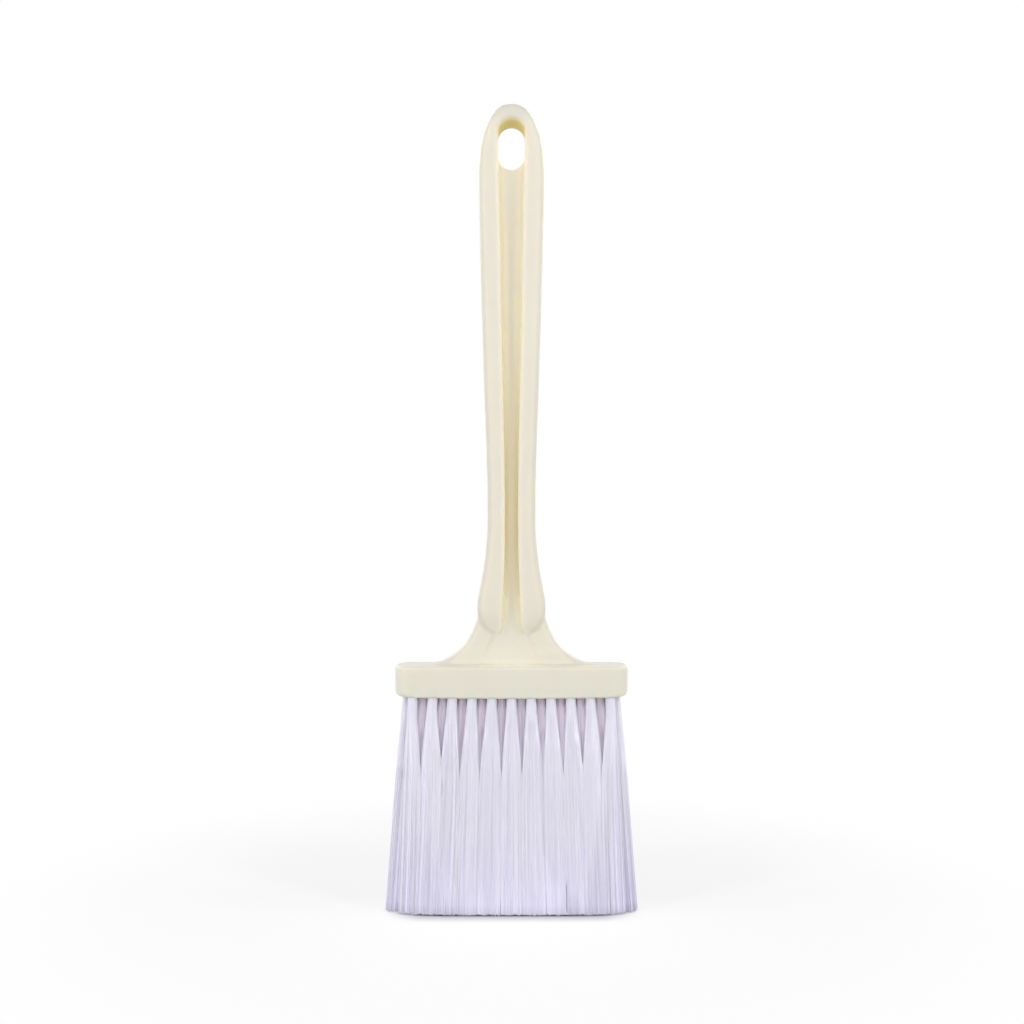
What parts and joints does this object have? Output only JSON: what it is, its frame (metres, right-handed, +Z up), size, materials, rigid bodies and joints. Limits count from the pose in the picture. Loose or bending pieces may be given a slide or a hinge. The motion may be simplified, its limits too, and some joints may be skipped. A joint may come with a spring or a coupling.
{
  "type": "cleaning brush",
  "caption": "Hand brush with a flat ribbed handle, a hanging slot and a wide block of splayed soft filament tufts.",
  "frame": {"origin": "on the ground under the middle of the bristle tips, the brush standing upright on them", "axes": "+Z up along the handle, +X along the head block to the right, the front faces -Y"},
  "size_m": [0.0828, 0.0234, 0.2651],
  "materials": {
    "ivory_plastic": "satin moulded ivory polypropylene",
    "lavender_filament": "fine pale lavender synthetic filament",
    "anchor_steel": "flat wire, hidden in the head"
  },
  "bodies": {
    "root": {"handle_and_head": "ivory_plastic", "tuft_front_01": "lavender_filament", "tuft_front_02": "lavender_filament", "tuft_front_03": "lavender_filament", "tuft_front_04": "lavender_filament", "tuft_front_05": "lavender_filament", "tuft_front_06": "lavender_filament", "tuft_front_07": "lavender_filament", "tuft_front_08": "lavender_filament", "tuft_front_09": "lavender_filament", "tuft_front_10": "lavender_filament", "tuft_front_11": "lavender_filament", "tuft_middle_01": "lavender_filament", "tuft_middle_02": "lavender_filament", "tuft_middle_03": "lavender_filament", "tuft_middle_04": "lavender_filament", "tuft_middle_05": "lavender_filament", "tuft_middle_06": "lavender_filament", "tuft_middle_07": "lavender_filament", "tuft_middle_08": "lavender_filament", "tuft_middle_09": "lavender_filament", "tuft_middle_10": "lavender_filament", "tuft_middle_11": "lavender_filament", "tuft_middle_12": "lavender_filament", "tuft_rear_01": "lavender_filament", "tuft_rear_02": "lavender_filament", "tuft_rear_03": "lavender_filament", "tuft_rear_04": "lavender_filament", "tuft_rear_05": "lavender_filament", "tuft_rear_06": "lavender_filament", "tuft_rear_07": "lavender_filament", "tuft_rear_08": "lavender_filament", "tuft_rear_09": "lavender_filament", "tuft_rear_10": "lavender_filament", "tuft_rear_11": "lavender_filament", "anchor_front_01": "anchor_steel", "anchor_front_02": "anchor_steel", "anchor_front_03": "anchor_steel", "anchor_front_04": "anchor_steel", "anchor_front_05": "anchor_steel", "anchor_front_06": "anchor_steel", "anchor_front_07": "anchor_steel", "anchor_front_08": "anchor_steel", "anchor_front_09": "anchor_steel", "anchor_front_10": "anchor_steel", "anchor_front_11": "anchor_steel", "anchor_rear_01": "anchor_steel", "anchor_rear_02": "anchor_steel", "anchor_rear_03": "anchor_steel", "anchor_rear_04": "anchor_steel", "anchor_rear_05": "anchor_steel", "anchor_rear_06": "anchor_steel", "anchor_rear_07": "anchor_steel", "anchor_rear_08": "anchor_steel", "anchor_rear_09": "anchor_steel", "anchor_rear_10": "anchor_steel", "anchor_rear_11": "anchor_steel"}
  },
  "joints": []
}
